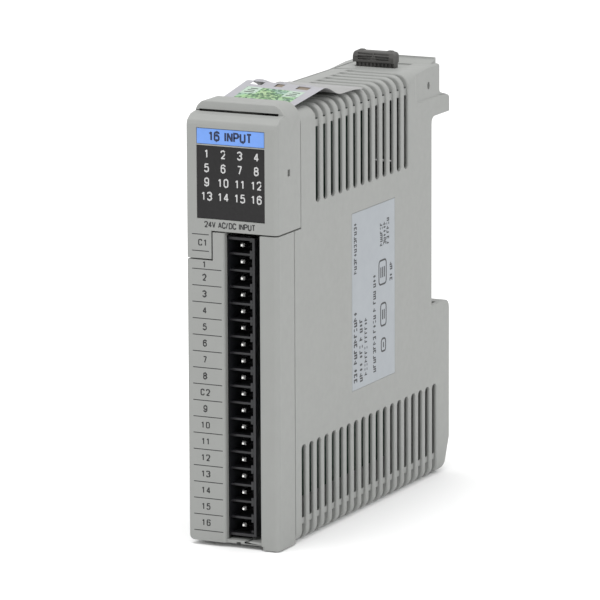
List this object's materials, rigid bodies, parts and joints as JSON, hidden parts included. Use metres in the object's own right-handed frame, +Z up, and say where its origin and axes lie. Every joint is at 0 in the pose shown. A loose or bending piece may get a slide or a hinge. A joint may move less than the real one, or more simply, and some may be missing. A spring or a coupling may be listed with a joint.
{
  "type": "plc input module",
  "caption": "Slim upright input module for a rack mounted controller, with a front terminal header, an indicator window, side vent slots and a sprung top release latch.",
  "frame": {"origin": "centre of the underside of the bounding box", "axes": "+Z up, +Y from the terminal face towards the backplane side, +X to the right seen from the front"},
  "size_m": [0.0228, 0.0932, 0.1033],
  "materials": {
    "case": "fine moulded grain, satin",
    "latch": "moulded, satin",
    "header": "moulded, slightly glossy",
    "window": "printed film, satin",
    "name_film": "printed film, satin",
    "rating_film": "printed film, satin",
    "label_paper": "coated paper",
    "board": "solder mask",
    "chip": "moulded resin",
    "baffle": "white moulded",
    "led_lens": "clear tinted resin",
    "tinned": "bright tin plate",
    "spring_steel": "drawn wire",
    "can": "satin"
  },
  "bodies": {
    "module": {"main_housing": "case", "left_cover": "case", "front_frame": "case", "bezel": "case", "legend_window": "window", "name_strip": "name_film", "terminal_header": "header", "light_baffle": "baffle", "display_board": "board", "display_connector": "chip", "main_board": "board", "controller_chip": "chip", "filter_capacitor": "can", "backplane_connector": "header", "latch_spring": "spring_steel", "rating_label": "rating_film", "top_label": "label_paper", "optocoupler_1": "chip", "optocoupler_2": "chip", "optocoupler_3": "chip", "optocoupler_4": "chip", "terminal_pin_01": "tinned", "terminal_pin_02": "tinned", "terminal_pin_03": "tinned", "terminal_pin_04": "tinned", "terminal_pin_05": "tinned", "terminal_pin_06": "tinned", "terminal_pin_07": "tinned", "terminal_pin_08": "tinned", "terminal_pin_09": "tinned", "terminal_pin_10": "tinned", "terminal_pin_11": "tinned", "terminal_pin_12": "tinned", "terminal_pin_13": "tinned", "terminal_pin_14": "tinned", "terminal_pin_15": "tinned", "terminal_pin_16": "tinned", "terminal_pin_17": "tinned", "terminal_pin_18": "tinned", "status_led_01": "led_lens", "status_led_02": "led_lens", "status_led_03": "led_lens", "status_led_04": "led_lens", "status_led_05": "led_lens", "status_led_06": "led_lens", "status_led_07": "led_lens", "status_led_08": "led_lens", "status_led_09": "led_lens", "status_led_10": "led_lens", "status_led_11": "led_lens", "status_led_12": "led_lens", "status_led_13": "led_lens", "status_led_14": "led_lens", "status_led_15": "led_lens", "status_led_16": "led_lens"},
    "latch": {"release_latch": "latch"}
  },
  "joints": [
    {"name": "latch_slide", "type": "slide", "parent": "module", "child": "latch", "axis": [0, 0, 1], "range_m": [0, 0.0025], "stiffness_N_per_m": 300, "springref_m": -0.0015, "deforming": ["latch_spring"]}
  ]
}
